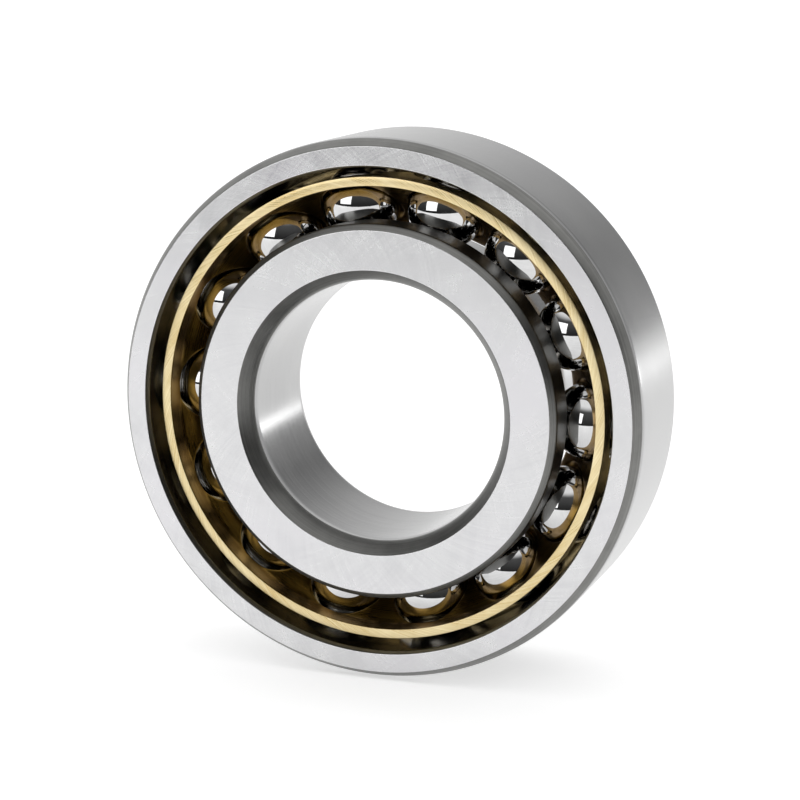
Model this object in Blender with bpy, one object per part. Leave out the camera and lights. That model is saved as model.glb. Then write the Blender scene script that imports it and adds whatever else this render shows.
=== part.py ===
"""Single-row angular contact ball bearing, 25 x 52 x 15 mm, with a 40 degree contact angle.

The bearing's axis is Y and its open front faces -Y. The origin is on the axis at mid-width.
The outer ring stands still, while the inner ring, the cage and the balls turn inside it.
Profiles are lists of (radius, y) points, turned about the Y axis.
"""
import math

import bmesh
import bpy
from mathutils import Matrix, Vector

MM = 0.001

# Boundary dimensions
BORE_RADIUS = 12.5 * MM
OUTER_RADIUS = 26.0 * MM
HALF_WIDTH = 7.5 * MM

# Balls and raceways
BALL_COUNT = 14
START_ANGLE = math.radians(-2)  # the first ball, measured up from +X
BALL_RADIUS = 3.75 * MM
PITCH_RADIUS = 19.45 * MM
CONTACT_ANGLE = math.radians(40)
GROOVE_SIZE = 0.52 * 2 * BALL_RADIUS  # the groove's radius where it touches the ball
RUNNING_CLEARANCE = 0.08 * MM
GROOVE_STEPS = 8

# Outer ring
OUTER_BACK_SHOULDER = 21.0 * MM
OUTER_RELIEF = 23.15 * MM
MOUTH_TAPER = 0.1 * MM
OUTER_FRONT_MOUTH = 23.45 * MM
OUTER_FRONT_CORNER = (0.75 * MM, 1.1 * MM)  # radial and axial size
OUTER_BACK_CHAMFER = 1.1 * MM

# Inner ring
INNER_FRONT_SHOULDER = 18.05 * MM
INNER_BACK_SHOULDER = 15.85 * MM
BORE_FRONT_CORNER = (1.2 * MM, 1.7 * MM)
BORE_BACK_CORNER = (1.0 * MM, 1.6 * MM)
SHOULDER_CHAMFER = 0.6 * MM

# Cage
CAGE_FRONT = -6.0 * MM
CAGE_BACK = 5.6 * MM
CAGE_FRONT_INNER = 21.4 * MM
CAGE_FRONT_INNER_END = -3.7 * MM
CAGE_OUTER = 22.3 * MM
CAGE_FRONT_OUTER_END = -0.5 * MM
CAGE_BACK_INNER = 16.5 * MM
CAGE_BACK_OUTER = 20.4 * MM
CAGE_BACK_OUTER_START = 3.4 * MM
CAGE_BACK_INNER_START = 4.2 * MM
CAGE_BREAK = 0.1 * MM
POCKET_RADIUS = BALL_RADIUS + 0.1 * MM
POCKET_START = 15.0 * MM
POCKET_END = 24.0 * MM

# Facets
RING_SEGMENTS = 96
CAGE_SEGMENTS = 6 * BALL_COUNT
POCKET_SEGMENTS = 24
BALL_SEGMENTS = 16
BALL_RINGS = 12


def make_material(name, colour, metallic, roughness):
    """A Principled material with one colour."""
    material = bpy.data.materials.new(name)
    material.use_nodes = True
    shader = material.node_tree.nodes["Principled BSDF"]
    shader.inputs["Base Color"].default_value = (*colour, 1.0)
    shader.inputs["Metallic"].default_value = metallic
    shader.inputs["Roughness"].default_value = roughness
    material.diffuse_color = (*colour, 1.0)
    return material


def add_object(name, bm, material, smooth_angle=30):
    """Turns a bmesh into an object of the scene, shaded smooth up to an angle in degrees."""
    mesh = bpy.data.meshes.new(name)
    bm.to_mesh(mesh)
    bm.free()
    mesh.materials.append(material)
    mesh.shade_smooth()
    mesh.set_sharp_from_angle(angle=math.radians(smooth_angle))
    piece = bpy.data.objects.new(name, mesh)
    bpy.context.scene.collection.objects.link(piece)
    return piece


def turn_profile(profile, segments):
    """Spins a closed outline of (radius, y) points about the Y axis."""
    bm = bmesh.new()
    verts = [bm.verts.new((radius, y, 0.0)) for radius, y in profile]
    edges = [bm.edges.new((verts[i - 1], verts[i])) for i in range(len(verts))]
    bmesh.ops.spin(
        bm,
        geom=verts + edges,
        cent=(0.0, 0.0, 0.0),
        axis=(0.0, 1.0, 0.0),
        angle=math.tau,
        steps=segments,
        use_merge=True,
    )
    bmesh.ops.recalc_face_normals(bm, faces=bm.faces)
    return bm


def groove_centre(side):
    """A groove's centre as (radius, y); side is 1 for the inner ring and -1 for the outer."""
    offset = GROOVE_SIZE - BALL_RADIUS
    radius = PITCH_RADIUS + side * offset * math.cos(CONTACT_ANGLE)
    return radius, side * offset * math.sin(CONTACT_ANGLE)


def groove_arc(side, start_radius, end_radius):
    """Groove points from the front shoulder's radius to the back shoulder's radius."""
    centre_radius, centre_y = groove_centre(side)
    radius = GROOVE_SIZE + RUNNING_CLEARANCE
    start = math.asin((start_radius - centre_radius) / radius)
    end = math.asin((end_radius - centre_radius) / radius)
    start = -side * math.pi - start
    angles = [start + (end - start) * i / GROOVE_STEPS for i in range(GROOVE_STEPS + 1)]
    return [(centre_radius + radius * math.sin(a), centre_y + radius * math.cos(a)) for a in angles]


def make_outer_ring(material):
    """The fixed ring: a high shoulder behind the balls and a relieved front."""
    groove = groove_arc(-1, OUTER_RELIEF, OUTER_BACK_SHOULDER)
    profile = [
        (OUTER_RADIUS, HALF_WIDTH - OUTER_BACK_CHAMFER),
        (OUTER_RADIUS, -HALF_WIDTH + OUTER_FRONT_CORNER[1]),
        (OUTER_RADIUS - OUTER_FRONT_CORNER[0], -HALF_WIDTH),
        (OUTER_FRONT_MOUTH, -HALF_WIDTH),
        (OUTER_RELIEF + MOUTH_TAPER, -HALF_WIDTH + SHOULDER_CHAMFER),
        *groove,
        (OUTER_BACK_SHOULDER, HALF_WIDTH - SHOULDER_CHAMFER),
        (OUTER_BACK_SHOULDER + SHOULDER_CHAMFER, HALF_WIDTH),
        (OUTER_RADIUS - OUTER_BACK_CHAMFER, HALF_WIDTH),
    ]
    return add_object("outer_ring", turn_profile(profile, RING_SEGMENTS), material)


def make_inner_ring(material):
    """The turning ring: a high thrust shoulder in front and a low shoulder behind."""
    groove = groove_arc(1, INNER_FRONT_SHOULDER, INNER_BACK_SHOULDER)
    profile = [
        (BORE_RADIUS, HALF_WIDTH - BORE_BACK_CORNER[1]),
        (BORE_RADIUS, -HALF_WIDTH + BORE_FRONT_CORNER[1]),
        (BORE_RADIUS + BORE_FRONT_CORNER[0], -HALF_WIDTH),
        (INNER_FRONT_SHOULDER - SHOULDER_CHAMFER, -HALF_WIDTH),
        (INNER_FRONT_SHOULDER, -HALF_WIDTH + SHOULDER_CHAMFER),
        *groove,
        (INNER_BACK_SHOULDER, HALF_WIDTH - SHOULDER_CHAMFER),
        (INNER_BACK_SHOULDER - SHOULDER_CHAMFER, HALF_WIDTH),
        (BORE_RADIUS + BORE_BACK_CORNER[0], HALF_WIDTH),
    ]
    return add_object("inner_ring", turn_profile(profile, RING_SEGMENTS), material)


def ball_direction(index):
    """Rotation about the bearing axis that carries +X to a ball's own radius."""
    angle = START_ANGLE + math.tau * index / BALL_COUNT
    return Matrix.Rotation(-angle, 4, "Y")


def make_pocket_cutter():
    """Radial cylinders, one through each ball pocket, as one cutting object."""
    middle = (POCKET_START + POCKET_END) / 2
    bm = bmesh.new()
    for index in range(BALL_COUNT):
        place = ball_direction(index) @ Matrix.Translation((middle, 0.0, 0.0))
        bmesh.ops.create_cone(
            bm,
            cap_ends=True,
            segments=POCKET_SEGMENTS,
            radius1=POCKET_RADIUS,
            radius2=POCKET_RADIUS,
            depth=POCKET_END - POCKET_START,
            matrix=place @ Matrix.Rotation(math.pi / 2, 4, "Y"),
        )
    mesh = bpy.data.meshes.new("pocket_cutter")
    bm.to_mesh(mesh)
    bm.free()
    cutter = bpy.data.objects.new("pocket_cutter", mesh)
    bpy.context.scene.collection.objects.link(cutter)
    cutter.hide_render = True
    cutter.display_type = "WIRE"
    return cutter


def make_cage(material):
    """The one-piece machined cage, stepping inward from its wide front ring."""
    profile = [
        (CAGE_FRONT_INNER + CAGE_BREAK, CAGE_FRONT),
        (CAGE_OUTER - CAGE_BREAK, CAGE_FRONT),
        (CAGE_OUTER, CAGE_FRONT + CAGE_BREAK),
        (CAGE_OUTER, CAGE_FRONT_OUTER_END),
        (CAGE_BACK_OUTER, CAGE_BACK_OUTER_START),
        (CAGE_BACK_OUTER, CAGE_BACK - CAGE_BREAK),
        (CAGE_BACK_OUTER - CAGE_BREAK, CAGE_BACK),
        (CAGE_BACK_INNER, CAGE_BACK),
        (CAGE_BACK_INNER, CAGE_BACK_INNER_START),
        (CAGE_FRONT_INNER, CAGE_FRONT_INNER_END),
        (CAGE_FRONT_INNER, CAGE_FRONT + CAGE_BREAK),
    ]
    cage = add_object("cage", turn_profile(profile, CAGE_SEGMENTS), material)
    pockets = cage.modifiers.new("pockets", "BOOLEAN")
    pockets.operation = "DIFFERENCE"
    pockets.solver = "EXACT"
    pockets.object = make_pocket_cutter()
    return cage


def make_balls(material):
    """The balls share one mesh; each local Z axis is the ball's own spin axis."""
    spin_axis = Vector((-math.sin(CONTACT_ANGLE), math.cos(CONTACT_ANGLE), 0.0))
    tilt = Vector((0.0, 0.0, 1.0)).rotation_difference(spin_axis).to_matrix().to_4x4()
    bm = bmesh.new()
    bmesh.ops.create_uvsphere(
        bm, u_segments=BALL_SEGMENTS, v_segments=BALL_RINGS, radius=BALL_RADIUS
    )
    first = add_object("ball_01", bm, material, smooth_angle=60)
    for index in range(BALL_COUNT):
        ball = first
        if index > 0:
            ball = bpy.data.objects.new(f"ball_{index + 1:02d}", first.data)
            bpy.context.scene.collection.objects.link(ball)
        place = ball_direction(index) @ Matrix.Translation((PITCH_RADIUS, 0.0, 0.0))
        ball.matrix_world = place @ tilt


def main():
    for old in list(bpy.context.scene.objects):
        bpy.data.objects.remove(old, do_unlink=True)
    ground_steel = make_material("ground_steel", (0.66, 0.66, 0.68), 1.0, 0.28)
    polished_steel = make_material("polished_steel", (0.75, 0.75, 0.77), 1.0, 0.06)
    brass = make_material("machined_brass", (0.78, 0.62, 0.33), 1.0, 0.3)
    make_outer_ring(ground_steel)
    make_inner_ring(ground_steel)
    make_cage(brass)
    make_balls(polished_steel)


main()
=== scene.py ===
"""The looks of a 25 x 52 x 15 mm angular contact ball bearing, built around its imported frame.

The bearing's axis is Y and its open front faces -Y. Finely turned rings, a machined cage and
mirror-finished balls stand for the frame's plain solids, with the frame's own sizes.
Lengths are in metres, and outlines are lists of (radius, y) points, turned about the Y axis.
"""
import math

import bmesh
import bpy
from mathutils import Matrix, Vector


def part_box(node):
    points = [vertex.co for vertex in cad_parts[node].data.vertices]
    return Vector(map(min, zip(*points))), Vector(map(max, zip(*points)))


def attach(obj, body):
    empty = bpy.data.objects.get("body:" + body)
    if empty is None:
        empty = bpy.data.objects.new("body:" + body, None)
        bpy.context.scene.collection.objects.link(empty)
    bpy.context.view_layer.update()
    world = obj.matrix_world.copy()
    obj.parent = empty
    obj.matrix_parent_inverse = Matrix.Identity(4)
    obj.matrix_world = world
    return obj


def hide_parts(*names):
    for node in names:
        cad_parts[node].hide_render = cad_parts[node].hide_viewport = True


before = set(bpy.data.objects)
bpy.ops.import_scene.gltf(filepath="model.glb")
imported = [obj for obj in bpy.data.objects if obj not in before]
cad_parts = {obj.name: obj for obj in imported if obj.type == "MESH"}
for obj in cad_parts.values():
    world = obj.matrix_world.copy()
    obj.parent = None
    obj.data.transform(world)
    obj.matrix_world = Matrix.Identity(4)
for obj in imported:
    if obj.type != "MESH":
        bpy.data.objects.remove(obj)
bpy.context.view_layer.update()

MM = 0.001


def node_radii(node):
    """Smallest and largest distance of a frame node's points from the bearing's axis."""
    spans = [math.hypot(v.co.x, v.co.z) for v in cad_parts[node].data.vertices]
    return min(spans), max(spans)


def node_centre(node):
    """Middle of a frame node's box."""
    low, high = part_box(node)
    return (low + high) / 2


# Sizes read from the frame
HALF_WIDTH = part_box("outer_ring")[1].y
BORE_RADIUS, INNER_SHOULDER = node_radii("inner_ring")
OUTER_SHOULDER, OUTER_RADIUS = node_radii("outer_ring")
CAGE_INNER, CAGE_OUTER = node_radii("cage")
CAGE_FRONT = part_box("cage")[0].y
CAGE_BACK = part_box("cage")[1].y
BALLS = sorted(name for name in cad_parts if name.startswith("ball_"))
BALL_STEP = math.tau / len(BALLS)
FIRST_BALL = node_centre(BALLS[0])
PITCH_RADIUS = math.hypot(FIRST_BALL.x, FIRST_BALL.z)
START_ANGLE = math.atan2(FIRST_BALL.z, FIRST_BALL.x)
BALL_RADIUS = max((v.co - FIRST_BALL).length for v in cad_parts[BALLS[0]].data.vertices)

# Raceways
CONTACT_ANGLE = math.radians(40)
GROOVE_RADIUS = 3.98 * MM
GROOVE_OFFSET = 0.15 * MM  # from the ball's centre, along the line of contact
GROOVE_STEPS = 28

# Ring corners, as the frame has them
INNER_BACK_SHOULDER = 15.85 * MM
OUTER_RELIEF = 23.15 * MM
OUTER_MOUTH = 23.45 * MM
MOUTH_TAPER = 0.1 * MM
OUTER_FRONT_CORNER = (0.75 * MM, 1.1 * MM)  # radial and axial size
OUTER_BACK_CHAMFER = 1.1 * MM
BORE_FRONT_CORNER = (1.2 * MM, 1.7 * MM)
BORE_BACK_CORNER = (1.0 * MM, 1.6 * MM)
SHOULDER_CHAMFER = 0.6 * MM

# How far each corner of a ring's outline is cut back to round it
OUTER_FRONT_CUT = 0.64 * MM
OUTER_BACK_CUT = 0.45 * MM
BORE_FRONT_CUT = 0.7 * MM
BORE_BACK_CUT = 0.6 * MM
BACK_FACE_CUT = 0.5 * MM
SHOULDER_CUT = 0.2 * MM
SHOULDER_FACE_CUT = 0.15 * MM
EDGE_CUT = 0.06 * MM
LARGEST_CUT = 0.48  # of a side's length
CORNER_STEPS = 6
RING_SEGMENTS = 300

# Cage outline
CAGE_FRONT_INNER = 21.4 * MM
CAGE_FRONT_INNER_END = -3.7 * MM
CAGE_BACK_INNER_START = 4.2 * MM
CAGE_FRONT_OUTER_END = -0.5 * MM
CAGE_BACK_OUTER = 20.4 * MM
CAGE_BACK_OUTER_START = 3.4 * MM
CAGE_BEND = 0.12 * MM  # how softly the outline bends
CAGE_EDGE = 0.06 * MM
CAGE_EDGE_STEPS = 3
CAGE_END_STEPS = 6
POCKET_RADIUS = BALL_RADIUS + 0.1 * MM
POCKET_EDGE = 0.1 * MM
POCKET_CELL = 4.5 * MM  # half-length of the square of cage around a pocket
POCKET_SIDE_STEPS = 28
POCKET_LAYERS = 5
POCKET_CROWDING = 1.5  # how strongly the layers crowd towards the pocket
POCKET_WALL_STEPS = 4
MERGE_DISTANCE = 0.0001 * MM

# Balls
BALL_CUTS = 25
BALL_TURNS = (1.1, 0.7, 1.9)  # each ball's turn from the one before it, in radians

# Finishes of a ring, as material indices
CYLINDER, FACE, CORNER, RACEWAY = range(4)

# Camera
CAMERA_AZIMUTH = math.radians(19.57)
CAMERA_ELEVATION = math.radians(11.58)
CAMERA_DISTANCE = 214.7 * MM  # from the middle of the front face
CAMERA_RIGHT = 2.76 * MM
CAMERA_UP = 1.4 * MM
CAMERA_LENS = 102.6  # as Blender has it, in millimetres
CAMERA_SENSOR = 36.0

# Studio
TABLE_SIZE = 6.0
TABLE_FRONT = 0.38  # how far the table reaches in front of the bearing
TABLE_GLOW = 0.5
SCREEN_DIRECTION = (0.30, 0.90, 0.27)
SCREEN_REACH = 0.75  # distance from the screen's middle on the unit sphere
SCREEN_LEVELS = (0.20, 0.98)  # at the screen's middle and beyond it
FRONT_LEVELS = (0.03, 0.10)  # at the horizon and higher up
OVERHEAD_LEVEL = 1.1
BACKDROP_LEVEL = 1.05
WHITE = (1.0, 1.0, 1.0, 1.0)

# Keeps a point's x and z, and drops its y
ACROSS = (1.0, 0.0, 1.0)


# ---------------------------------------------------------------- nodes


def add_node(tree, kind, inputs=None, **settings):
    """Adds a shader node. An input's value is a number, a vector or another node's socket."""
    node = tree.nodes.new("ShaderNode" + kind)
    for name, value in settings.items():
        setattr(node, name, value)
    for key, value in (inputs or {}).items():
        if isinstance(value, bpy.types.NodeSocket):
            tree.links.new(value, node.inputs[key])
        else:
            node.inputs[key].default_value = value
    return node


def add_math(tree, operation, *values):
    """A Math node's result."""
    return add_node(tree, "Math", dict(enumerate(values)), operation=operation).outputs[0]


def add_vector_math(tree, operation, *values):
    """A Vector Math node's result as a vector."""
    node = add_node(tree, "VectorMath", dict(enumerate(values)), operation=operation)
    return node.outputs["Vector"]


def scaled(tree, vector, scale):
    """A vector multiplied by three numbers."""
    return add_vector_math(tree, "MULTIPLY", vector, scale)


def blend(tree, first, second, share):
    """A share of one value and the rest of another."""
    part = add_math(tree, "MULTIPLY", first, share)
    rest = add_math(tree, "MULTIPLY", second, 1.0 - share)
    return add_math(tree, "ADD", part, rest)


def add_noise(tree, vector, scale, detail=2.0, roughness=0.5):
    """Noise from about 0.2 to 0.8 over a surface."""
    values = {"Vector": vector, "Scale": scale, "Detail": detail, "Roughness": roughness}
    return add_node(tree, "TexNoise", values).outputs["Fac"]


def remap(tree, value, low, high, to_low, to_high, smooth=False):
    """A value's range carried to another range, and held at its ends."""
    values = {"Value": value, 1: low, 2: high, 3: to_low, 4: to_high}
    kind = "SMOOTHSTEP" if smooth else "LINEAR"
    return add_node(tree, "MapRange", values, interpolation_type=kind).outputs[0]


def mix_values(tree, factor, first, second):
    """A mix of two numbers, each a number or a socket."""
    inputs = {0: factor, 2: first, 3: second}
    return add_node(tree, "Mix", inputs, data_type="FLOAT").outputs[0]


def mix_colours(tree, factor, first, second):
    """A mix of two colours, each three numbers or a socket."""
    inputs = {0: factor, 6: first, 7: second}
    for key in (6, 7):
        if isinstance(inputs[key], tuple):
            inputs[key] = (*inputs[key], 1.0)
    return add_node(tree, "Mix", inputs, data_type="RGBA").outputs[2]


def object_position(tree):
    """A point's place on its own piece, in metres, so that marks turn with the piece."""
    return add_node(tree, "TexCoord").outputs["Object"]


def axis_distance(tree, position):
    """Distance of a point from the Y axis."""
    flat = scaled(tree, position, ACROSS)
    return add_node(tree, "VectorMath", {0: flat}, operation="LENGTH").outputs["Value"]


def turned_marks(tree, position, pitch):
    """Fine lines around the Y axis, as a turning tool or a grinding wheel leaves them."""
    radius = axis_distance(tree, position)
    along = add_node(tree, "SeparateXYZ", {0: position}).outputs["Y"]
    rise = add_math(tree, "ADD", radius, along)
    fall = add_math(tree, "SUBTRACT", radius, along)
    slow = scaled(tree, position, (60.0, 0.0, 60.0))
    combined = add_node(tree, "CombineXYZ", {0: rise, 1: fall, 2: 0.0}).outputs[0]
    fine = scaled(tree, combined, (1 / pitch, 1 / pitch, 0.0))
    lines = add_vector_math(tree, "ADD", fine, slow)
    return add_noise(tree, lines, 1.0, detail=3.0, roughness=0.65)


def stroke_marks(tree, position, slant, count):
    """Strokes across a flat ring face, slanted from the radius like a spiral."""
    radius = axis_distance(tree, position)
    direction = add_vector_math(tree, "NORMALIZE", scaled(tree, position, ACROSS))
    turn = add_math(tree, "MULTIPLY", radius, slant)
    values = {"Vector": direction, "Angle": turn}
    spiral = add_node(tree, "VectorRotate", values, rotation_type="Y_AXIS").outputs[0]
    along = add_math(tree, "MULTIPLY", radius, 160.0)
    depth = add_node(tree, "CombineXYZ", {1: along}).outputs[0]
    lines = add_vector_math(tree, "ADD", scaled(tree, spiral, (count, 0.0, count)), depth)
    return add_noise(tree, lines, 1.0, detail=3.0, roughness=0.6)


def new_material(name):
    """A material with its Principled shader and its node tree."""
    material = bpy.data.materials.new(name)
    material.use_nodes = True
    tree = material.node_tree
    return material, tree, tree.nodes["Principled BSDF"]


def finish_metal(tree, shader, colour, roughness, height, depth):
    """Links a metal's colour, roughness and surface relief to its shader."""
    shader.inputs["Metallic"].default_value = 1.0
    tree.links.new(colour, shader.inputs["Base Color"])
    tree.links.new(roughness, shader.inputs["Roughness"])
    bump = add_node(tree, "Bump", {"Height": height, "Distance": depth, "Strength": 1.0})
    tree.links.new(bump.outputs[0], shader.inputs["Normal"])


def ground_cylinder(name, dark, light):
    """Steel ground around its axis: fine lines that run with the turn."""
    material, tree, shader = new_material(name)
    place = object_position(tree)
    lines = turned_marks(tree, place, 0.09 * MM)
    cloud = add_noise(tree, place, 140.0, detail=3.0)
    tone = blend(tree, lines, cloud, 0.65)
    colour = mix_colours(tree, remap(tree, tone, 0.35, 0.65, 0.0, 1.0), dark, light)
    roughness = remap(tree, tone, 0.3, 0.7, 0.17, 0.27)
    finish_metal(tree, shader, colour, roughness, lines, 0.002 * MM)
    return material


def ground_face(name, dark, light):
    """Steel ground flat: strokes that cross the ring's face at a slant, and soft stains."""
    material, tree, shader = new_material(name)
    place = object_position(tree)
    one_way = stroke_marks(tree, place, 45.0, 95.0)
    other_way = stroke_marks(tree, place, -70.0, 60.0)
    strokes = blend(tree, one_way, other_way, 0.6)
    stain_and_painted_shade = add_noise(tree, place, 260.0, detail=4.0, roughness=0.6)
    tone = blend(tree, strokes, stain_and_painted_shade, 0.6)
    metal = mix_colours(tree, remap(tree, tone, 0.38, 0.62, 0.0, 1.0), dark, light)
    tint = add_noise(tree, place, 90.0, detail=1.0)
    lilac = remap(tree, tint, 0.45, 0.7, 0.0, 0.35, smooth=True)
    tinted = (light[0], light[1] * 0.975, light[2] * 1.02)
    colour = mix_colours(tree, lilac, metal, tinted)
    roughness = remap(tree, tone, 0.35, 0.65, 0.2, 0.3)
    finish_metal(tree, shader, colour, roughness, strokes, 0.001 * MM)
    return material


def turned_corner(name, dark, light):
    """Hard-turned, heat-darkened corners and shoulders that no wheel has ground."""
    material, tree, shader = new_material(name)
    place = object_position(tree)
    lines = turned_marks(tree, place, 0.14 * MM)
    cloud = add_noise(tree, place, 300.0, detail=4.0, roughness=0.6)
    tone = blend(tree, lines, cloud, 0.6)
    colour = mix_colours(tree, remap(tree, tone, 0.35, 0.65, 0.0, 1.0), dark, light)
    roughness = remap(tree, tone, 0.3, 0.7, 0.3, 0.42)
    finish_metal(tree, shader, colour, roughness, lines, 0.004 * MM)
    return material


def honed_raceway(name, dark, light):
    """The superfinished grooves, and the outer ring's relief in front of its groove."""
    material, tree, shader = new_material(name)
    place = object_position(tree)
    lines = turned_marks(tree, place, 0.05 * MM)
    cloud = add_noise(tree, place, 200.0, detail=2.0)
    colour = mix_colours(tree, remap(tree, cloud, 0.35, 0.65, 0.0, 1.0), dark, light)
    roughness = remap(tree, lines, 0.3, 0.7, 0.10, 0.20)
    finish_metal(tree, shader, colour, roughness, lines, 0.0004 * MM)
    return material


def lapped_ball(name, dark, light):
    """Mirror-lapped balls, with the faintest haze and hairlines."""
    material, tree, shader = new_material(name)
    place = object_position(tree)
    haze = add_noise(tree, place, 500.0, detail=4.0, roughness=0.6)
    hairs = add_noise(tree, scaled(tree, place, (9000.0, 500.0, 700.0)), 1.0, detail=2.0)
    tone = blend(tree, haze, hairs, 0.7)
    colour = mix_colours(tree, remap(tree, tone, 0.35, 0.65, 0.0, 1.0), dark, light)
    roughness = remap(tree, tone, 0.35, 0.65, 0.025, 0.055)
    finish_metal(tree, shader, colour, roughness, hairs, 0.00008 * MM)
    return material


def machined_brass(name, dark, light, stain_and_painted_shade):
    """Turned brass, bright outside and on its ends, and darkened by painted shade inside and in
    the pockets.
    """
    material, tree, shader = new_material(name)
    place = object_position(tree)
    lines = turned_marks(tree, place, 0.12 * MM)
    strokes = stroke_marks(tree, place, 110.0, 150.0)
    facing = add_node(tree, "TexCoord").outputs["Normal"]
    across = add_math(tree, "ABSOLUTE", add_node(tree, "SeparateXYZ", {0: facing}).outputs["Y"])
    outward = add_vector_math(tree, "NORMALIZE", scaled(tree, place, ACROSS))
    away = add_node(tree, "VectorMath", {0: facing, 1: outward}, operation="DOT_PRODUCT")
    is_end = remap(tree, across, 0.8, 0.95, 0.0, 1.0, smooth=True)
    marks = mix_values(tree, is_end, lines, strokes)
    tarnish = add_noise(tree, place, 220.0, detail=4.0, roughness=0.6)
    tone = blend(tree, marks, tarnish, 0.6)
    metal = mix_colours(tree, remap(tree, tone, 0.36, 0.64, 0.0, 1.0), dark, light)
    # Painted shade: a dark brown multiplies the brass wherever it faces inwards, on the cage's
    # inside and in its pockets
    painted_shade = add_node(tree, "Mix", {0: 1.0, 6: metal, 7: (*stain_and_painted_shade, 1.0)}, data_type="RGBA")
    painted_shade.blend_type = "MULTIPLY"
    # Only surfaces facing outwards and the ends are kept free of the painted shade
    is_outside = remap(tree, away.outputs["Value"], 0.3, 0.8, 0.0, 1.0, smooth=True)
    is_unshaded = add_math(tree, "MAXIMUM", is_end, is_outside)
    colour = mix_colours(tree, is_unshaded, painted_shade.outputs[2], metal)
    roughness = remap(tree, tone, 0.3, 0.7, 0.24, 0.34)
    finish_metal(tree, shader, colour, roughness, marks, 0.003 * MM)
    return material


# ---------------------------------------------------------------- shapes


def add_piece(name, bm, materials):
    """Turns a bmesh into a smooth-shaded object of the scene."""
    mesh = bpy.data.meshes.new(name)
    bm.to_mesh(mesh)
    bm.free()
    for material in materials:
        mesh.materials.append(material)
    mesh.shade_smooth()
    piece = bpy.data.objects.new(name, mesh)
    bpy.context.scene.collection.objects.link(piece)
    return piece


def rounded(outline):
    """Rounds a closed outline of (radius, y, cut, finish) corners.

    Each corner is cut back by its own length along both sides and bridged by a smooth curve.
    A corner's finish starts halfway round its curve. Returns (radius, y) points and the finish
    of the stretch that starts at each of them.
    """
    points, finishes = [], []
    for index, (radius, y, cut, finish) in enumerate(outline):
        corner = Vector((radius, y))
        finish_before = outline[index - 1][3]
        if cut == 0:
            points.append(corner)
            finishes.append(finish)
            continue
        before = Vector(outline[index - 1][:2]) - corner
        after = Vector(outline[(index + 1) % len(outline)][:2]) - corner
        start = corner + before.normalized() * min(cut, before.length * LARGEST_CUT)
        end = corner + after.normalized() * min(cut, after.length * LARGEST_CUT)
        for step in range(CORNER_STEPS + 1):
            t = step / CORNER_STEPS
            points.append(start * (1 - t) ** 2 + corner * 2 * t * (1 - t) + end * t**2)
            finishes.append(finish_before if step < CORNER_STEPS // 2 else finish)
    return points, finishes


def turned(outline):
    """Turns a rounded outline about the Y axis into a closed ring of quads."""
    points, finishes = rounded(outline)
    bm = bmesh.new()
    rows = []
    for step in range(RING_SEGMENTS):
        angle = math.tau * step / RING_SEGMENTS
        out = Vector((math.cos(angle), 0.0, math.sin(angle)))
        rows.append([bm.verts.new(out * r + Vector((0.0, y, 0.0))) for r, y in points])
    for step in range(RING_SEGMENTS):
        here, there = rows[step - 1], rows[step]
        for i, finish in enumerate(finishes):
            j = (i + 1) % len(points)
            face = bm.faces.new((here[i], there[i], there[j], here[j]))
            face.material_index = finish
    bmesh.ops.recalc_face_normals(bm, faces=bm.faces)
    return bm


def groove(side, start_radius, end_radius):
    """Raceway corners between two radii; side is 1 for the inner ring and -1 for the outer."""
    centre_radius = PITCH_RADIUS + side * GROOVE_OFFSET * math.cos(CONTACT_ANGLE)
    centre_y = side * GROOVE_OFFSET * math.sin(CONTACT_ANGLE)
    start = -side * math.pi - math.asin((start_radius - centre_radius) / GROOVE_RADIUS)
    end = math.asin((end_radius - centre_radius) / GROOVE_RADIUS)
    corners = []
    for step in range(GROOVE_STEPS + 1):
        angle = start + (end - start) * step / GROOVE_STEPS
        radius = centre_radius + GROOVE_RADIUS * math.sin(angle)
        corners.append((radius, centre_y + GROOVE_RADIUS * math.cos(angle), 0, RACEWAY))
    first, last = corners[0], corners[-1]
    corners[0] = (*first[:2], EDGE_CUT, RACEWAY)
    corners[-1] = (*last[:2], EDGE_CUT, CYLINDER)
    return corners


def outer_ring_outline():
    """The fixed ring: ground outside, relieved in front, with a high shoulder behind."""
    return [
        (OUTER_RADIUS, HALF_WIDTH - OUTER_BACK_CHAMFER, OUTER_BACK_CUT, CYLINDER),
        (OUTER_RADIUS, -HALF_WIDTH + OUTER_FRONT_CORNER[1], OUTER_FRONT_CUT, CORNER),
        (OUTER_RADIUS - OUTER_FRONT_CORNER[0], -HALF_WIDTH, EDGE_CUT, FACE),
        (OUTER_MOUTH, -HALF_WIDTH, EDGE_CUT, CORNER),
        (OUTER_RELIEF + MOUTH_TAPER, -HALF_WIDTH + SHOULDER_CHAMFER, SHOULDER_CUT, RACEWAY),
        *groove(-1, OUTER_RELIEF, OUTER_SHOULDER),
        (OUTER_SHOULDER, HALF_WIDTH - SHOULDER_CHAMFER, SHOULDER_CUT, CORNER),
        (OUTER_SHOULDER + SHOULDER_CHAMFER, HALF_WIDTH, SHOULDER_FACE_CUT, FACE),
        (OUTER_RADIUS - OUTER_BACK_CHAMFER, HALF_WIDTH, OUTER_BACK_CUT, CORNER),
    ]


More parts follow.
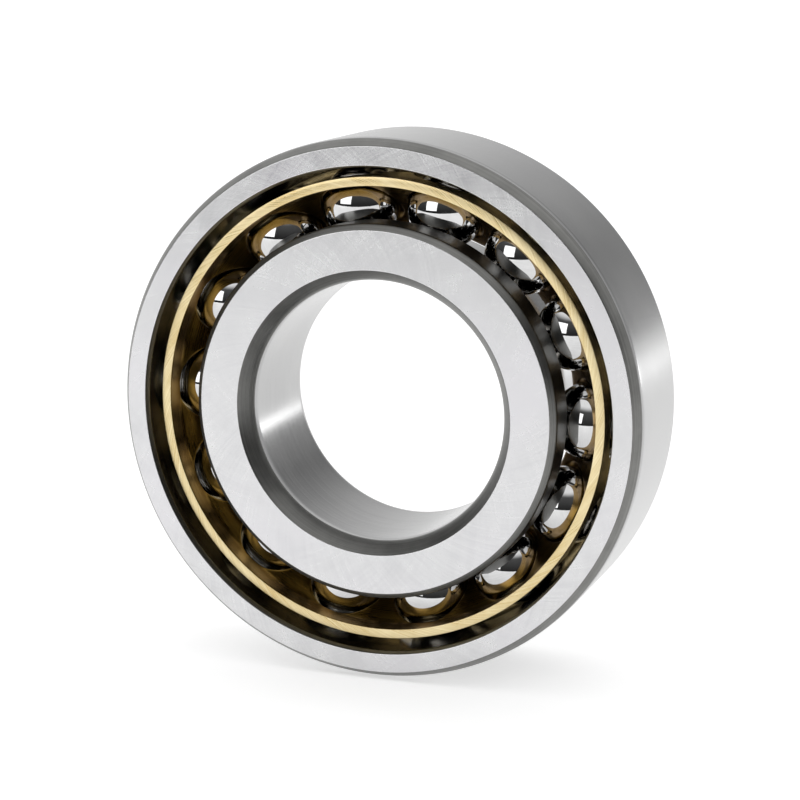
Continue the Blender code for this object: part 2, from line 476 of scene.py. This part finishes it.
def inner_ring_outline():
    """The turning ring: a high thrust shoulder in front and a low shoulder behind."""
    return [
        (BORE_RADIUS, HALF_WIDTH - BORE_BACK_CORNER[1], BORE_BACK_CUT, CYLINDER),
        (BORE_RADIUS, -HALF_WIDTH + BORE_FRONT_CORNER[1], BORE_FRONT_CUT, CORNER),
        (BORE_RADIUS + BORE_FRONT_CORNER[0], -HALF_WIDTH, EDGE_CUT, FACE),
        (INNER_SHOULDER - SHOULDER_CHAMFER, -HALF_WIDTH, EDGE_CUT, CORNER),
        (INNER_SHOULDER, -HALF_WIDTH + SHOULDER_CHAMFER, SHOULDER_CUT, CORNER),
        *groove(1, INNER_SHOULDER, INNER_BACK_SHOULDER),
        (INNER_BACK_SHOULDER, HALF_WIDTH - SHOULDER_CHAMFER, SHOULDER_CUT, CORNER),
        (INNER_BACK_SHOULDER - SHOULDER_CHAMFER, HALF_WIDTH, SHOULDER_FACE_CUT, FACE),
        (BORE_RADIUS + BORE_BACK_CORNER[0], HALF_WIDTH, BACK_FACE_CUT, CORNER),
    ]


def stepped(y, front, front_end, back, back_start):
    """A radius at y: straight in front, then a cone, then straight again, with soft bends."""
    slope = (back - front) / (back_start - front_end)
    level = front
    for bend, change in ((front_end, slope), (back_start, -slope)):
        past = y - bend
        level += change * (past + math.hypot(past, CAGE_BEND)) / 2
    return level


def cage_outer(y):
    """The cage's outer radius."""
    return stepped(y, CAGE_OUTER, CAGE_FRONT_OUTER_END, CAGE_BACK_OUTER, CAGE_BACK_OUTER_START)


def cage_inner(y):
    """The cage's inner radius."""
    return stepped(y, CAGE_FRONT_INNER, CAGE_FRONT_INNER_END, CAGE_INNER, CAGE_BACK_INNER_START)


def cell_edge():
    """Points around a pocket's cell as (share of the ball step, y), evenly along each side."""
    shares = [2 * step / POCKET_SIDE_STEPS - 1 for step in range(POCKET_SIDE_STEPS)]
    return [
        *((0.5, t * POCKET_CELL) for t in shares),
        *((-t / 2, POCKET_CELL) for t in shares),
        *((-0.5, -t * POCKET_CELL) for t in shares),
        *((t / 2, -POCKET_CELL) for t in shares),
    ]


def on_cage(angle, radius, y):
    """A point at an angle round the axis, measured from +X up towards +Z."""
    return Vector((radius * math.cos(angle), y, radius * math.sin(angle)))


def pocket_loops(middle):
    """Loops of points from a cell's outer edge, down its pocket's wall, to its inner edge."""
    edge = cell_edge()
    turns = [math.tau * i / len(edge) - math.pi / 4 for i in range(len(edge))]

    def hole(radius_at, size):
        """Where a cylinder of this size about the pocket's axis meets the cage's surface."""
        ring = []
        for turn in turns:
            side, y = size * math.cos(turn), size * math.sin(turn)
            ring.append((math.asin(side / radius_at(y)), y))
        return ring

    def surface(radius_at):
        """Loops over one side of the cage, from the cell's edge to the pocket's broken edge."""
        rim = hole(radius_at, POCKET_RADIUS + POCKET_EDGE)
        found = []
        for layer in range(POCKET_LAYERS + 1):
            t = 1 - (1 - layer / POCKET_LAYERS) ** POCKET_CROWDING
            ring = []
            for (share, y), (rim_angle, rim_y) in zip(edge, rim):
                angle = (1 - t) * share * BALL_STEP + t * rim_angle
                level = (1 - t) * y + t * rim_y
                ring.append(on_cage(middle + angle, radius_at(level), level))
            found.append(ring)
        return found

    def wall(depth_share):
        """A loop round the pocket's wall, between its outer edge at 0 and its inner edge at 1."""
        ring = []
        for turn in turns:
            side, y = POCKET_RADIUS * math.cos(turn), POCKET_RADIUS * math.sin(turn)
            high = math.sqrt(cage_outer(y) ** 2 - side**2) - POCKET_EDGE
            low = math.sqrt(cage_inner(y) ** 2 - side**2) + POCKET_EDGE
            reach = high + (low - high) * depth_share
            ring.append(on_cage(middle + math.atan2(side, reach), math.hypot(side, reach), y))
        return ring

    walls = [wall(step / POCKET_WALL_STEPS) for step in range(POCKET_WALL_STEPS + 1)]
    return [*surface(cage_outer), *walls, *reversed(surface(cage_inner))]


def cage_end(side):
    """The cage's outline past its pockets, from outside to inside; side is -1 for the front."""
    end = CAGE_FRONT if side < 0 else CAGE_BACK
    start = side * POCKET_CELL
    stop = end - side * CAGE_EDGE
    outside = [start + (stop - start) * i / CAGE_END_STEPS for i in range(CAGE_END_STEPS + 1)]
    points = [Vector((cage_outer(y), y)) for y in outside]
    outer, inner = cage_outer(end), cage_inner(end)
    for step in range(1, CAGE_EDGE_STEPS + 1):
        turn = step / CAGE_EDGE_STEPS * math.pi / 2
        radius = outer - CAGE_EDGE * (1 - math.cos(turn))
        points.append(Vector((radius, stop + side * CAGE_EDGE * math.sin(turn))))
    for step in range(CAGE_EDGE_STEPS + 1):
        turn = (1 - step / CAGE_EDGE_STEPS) * math.pi / 2
        radius = inner + CAGE_EDGE * (1 - math.cos(turn))
        points.append(Vector((radius, stop + side * CAGE_EDGE * math.sin(turn))))
    points += [Vector((cage_inner(y), y)) for y in reversed(outside[:-1])]
    return points


def cage_mesh():
    """The one-piece cage with a drilled pocket for each ball and its edges broken."""
    bm = bmesh.new()
    for pocket in range(len(BALLS)):
        middle = START_ANGLE + pocket * BALL_STEP
        loops = [[bm.verts.new(p) for p in loop] for loop in pocket_loops(middle)]
        for outside, inside in zip(loops, loops[1:]):
            for i in range(len(outside)):
                bm.faces.new((outside[i - 1], outside[i], inside[i], inside[i - 1]))
    columns = len(BALLS) * POCKET_SIDE_STEPS
    start = START_ANGLE - BALL_STEP / 2
    for side in (-1, 1):
        outline = cage_end(side)
        rows = []
        for column in range(columns):
            angle = start + math.tau * column / columns
            rows.append([bm.verts.new(on_cage(angle, r, y)) for r, y in outline])
        for column in range(columns):
            here, there = rows[column - 1], rows[column]
            for i in range(len(outline) - 1):
                bm.faces.new((here[i], there[i], there[i + 1], here[i + 1]))
    bmesh.ops.remove_doubles(bm, verts=bm.verts, dist=MERGE_DISTANCE)
    bmesh.ops.recalc_face_normals(bm, faces=bm.faces)
    return bm


def ball_mesh():
    """A ball at the origin as an even grid of quads, with no poles."""
    bm = bmesh.new()
    bmesh.ops.create_cube(bm, size=2.0)
    bmesh.ops.subdivide_edges(bm, edges=bm.edges, cuts=BALL_CUTS, use_grid_fill=True)
    for vert in bm.verts:
        even = Vector(math.tan(c * math.pi / 4) for c in vert.co)
        vert.co = even.normalized() * BALL_RADIUS
    return bm


# ---------------------------------------------------------------- pieces


def stand_for(piece, node, body):
    """The piece replaces a frame node and moves with its body."""
    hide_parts(node)
    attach(piece, body)


def flatten_shading(piece):
    """Weights normals by face size, so that only rounded corners shade round."""
    weighted = piece.modifiers.new("flat_faces", "WEIGHTED_NORMAL")
    weighted.mode = "FACE_AREA"
    weighted.keep_sharp = True


def make_rings():
    """Both rings. Their finishes stand in the order of the material indices."""
    finishes = [
        ground_cylinder("ground_cylinder", (0.37, 0.37, 0.372), (0.48, 0.48, 0.477)),
        ground_face("ground_face", (0.58, 0.58, 0.59), (0.70, 0.70, 0.705)),
        turned_corner("turned_corner", (0.135, 0.135, 0.13), (0.25, 0.25, 0.24)),
        honed_raceway("honed_raceway", (0.64, 0.62, 0.58), (0.76, 0.74, 0.70)),
    ]
    outlines = {"outer_ring": outer_ring_outline(), "inner_ring": inner_ring_outline()}
    for node, outline in outlines.items():
        piece = add_piece(node + "_turned", turned(outline), finishes)
        flatten_shading(piece)
        stand_for(piece, node, node)


def make_cage():
    """The brass cage."""
    # The last colour is painted shade for the cage's inside and its pockets
    brass = machined_brass(
        "machined_brass", (0.58, 0.44, 0.20), (0.88, 0.76, 0.48), stain_and_painted_shade=(0.40, 0.285, 0.095)
    )
    piece = add_piece("cage_machined", cage_mesh(), [brass])
    flatten_shading(piece)
    stand_for(piece, "cage", "cage")


def make_balls():
    """The balls, each with its hairlines turned its own way."""
    steel = lapped_ball("lapped_steel", (0.56, 0.56, 0.56), (0.66, 0.66, 0.66))
    first = add_piece(BALLS[0] + "_lapped", ball_mesh(), [steel])
    for index, node in enumerate(BALLS):
        ball = first
        if index > 0:
            ball = bpy.data.objects.new(node + "_lapped", first.data)
            bpy.context.scene.collection.objects.link(ball)
        ball.location = node_centre(node)
        ball.rotation_euler = [turn * index for turn in BALL_TURNS]
        stand_for(ball, node, node)


# ---------------------------------------------------------------- studio


def make_floor():
    """A pale, evenly lit table that the bearing stands on."""
    material, tree, shader = new_material("pale_table")
    place = object_position(tree)
    cloud = add_noise(tree, place, 20.0)
    colour = mix_colours(tree, cloud, (0.78, 0.78, 0.78), (0.82, 0.82, 0.82))
    tree.links.new(colour, shader.inputs["Base Color"])
    shader.inputs["Roughness"].default_value = 0.9
    shader.inputs["Emission Color"].default_value = WHITE
    shader.inputs["Emission Strength"].default_value = TABLE_GLOW
    bm = bmesh.new()
    bmesh.ops.create_grid(bm, x_segments=8, y_segments=8, size=TABLE_SIZE / 2)
    floor = add_piece("table", bm, [material])
    floor.location = (0.0, TABLE_SIZE / 2 - TABLE_FRONT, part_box("outer_ring")[0].z)


def make_world():
    """Soft studio surroundings, with a dark screen behind on the right; white to the camera."""
    world = bpy.data.worlds.new("studio")
    bpy.context.scene.world = world
    world.use_nodes = True
    tree = world.node_tree
    direction = add_node(tree, "TexCoord").outputs["Generated"]
    screen = Vector(SCREEN_DIRECTION).normalized()
    apart = add_node(tree, "VectorMath", {0: direction, 1: screen}, operation="DISTANCE")
    behind = remap(tree, apart.outputs["Value"], 0.0, SCREEN_REACH, *SCREEN_LEVELS)
    parts = add_node(tree, "SeparateXYZ", {0: direction})
    front = remap(tree, parts.outputs["Z"], 0.0, 0.6, *FRONT_LEVELS)
    is_behind = remap(tree, parts.outputs["Y"], -0.1, 0.2, 0.0, 1.0, smooth=True)
    around = mix_values(tree, is_behind, front, behind)
    is_overhead = remap(tree, parts.outputs["Z"], 0.55, 0.8, 0.0, 1.0, smooth=True)
    level = mix_values(tree, is_overhead, around, OVERHEAD_LEVEL)
    lit = add_node(tree, "Background", {"Color": WHITE, "Strength": level})
    seen = add_node(tree, "Background", {"Color": WHITE, "Strength": BACKDROP_LEVEL})
    is_camera = add_node(tree, "LightPath").outputs["Is Camera Ray"]
    mixed = add_node(tree, "MixShader", {0: is_camera, 1: lit.outputs[0], 2: seen.outputs[0]})
    tree.links.new(mixed.outputs[0], tree.nodes["World Output"].inputs[0])


def add_softbox(name, direction, distance, size, radiance):
    """A soft light of a width and height that faces the bearing, unseen by the camera."""
    light = bpy.data.lights.new(name, "AREA")
    light.shape = "RECTANGLE"
    light.size, light.size_y = size
    light.energy = radiance * math.pi * size[0] * size[1]
    box = bpy.data.objects.new(name, light)
    bpy.context.scene.collection.objects.link(box)
    out = Vector(direction).normalized()
    box.location = out * distance
    box.rotation_euler = (-out).to_track_quat("-Z", "Y").to_euler()
    box.visible_camera = False


def make_lights():
    """A large key softbox to the left of the camera, and a low strip of light far behind."""
    add_softbox("key", (-0.45, -0.86, 0.28), 0.6, (0.36, 0.30), 2.0)
    add_softbox("strip", (0.475, 0.88, -0.035), 0.4, (0.04, 0.020), 8.0)


def make_camera():
    """A long lens, held level, that looks at the front face from the right and a little above."""
    right = Vector((math.cos(CAMERA_AZIMUTH), math.sin(CAMERA_AZIMUTH), 0.0))
    level = Vector((math.sin(CAMERA_AZIMUTH), -math.cos(CAMERA_AZIMUTH), 0.0))
    back = level * math.cos(CAMERA_ELEVATION) + Vector((0.0, 0.0, math.sin(CAMERA_ELEVATION)))
    up = back.cross(right)
    lens = bpy.data.cameras.new("camera")
    lens.sensor_width = CAMERA_SENSOR
    lens.lens = CAMERA_LENS
    lens.clip_start = 10 * MM
    camera = bpy.data.objects.new("camera", lens)
    bpy.context.scene.collection.objects.link(camera)
    face = Vector((0.0, -HALF_WIDTH, 0.0))
    place = Matrix((right, up, back)).transposed().to_4x4()
    place.translation = face + right * CAMERA_RIGHT + up * CAMERA_UP + back * CAMERA_DISTANCE
    camera.matrix_world = place
    bpy.context.scene.camera = camera


make_rings()
make_cage()
make_balls()
make_floor()
make_world()
make_lights()
make_camera()
bpy.context.scene.view_settings.view_transform = "Standard"
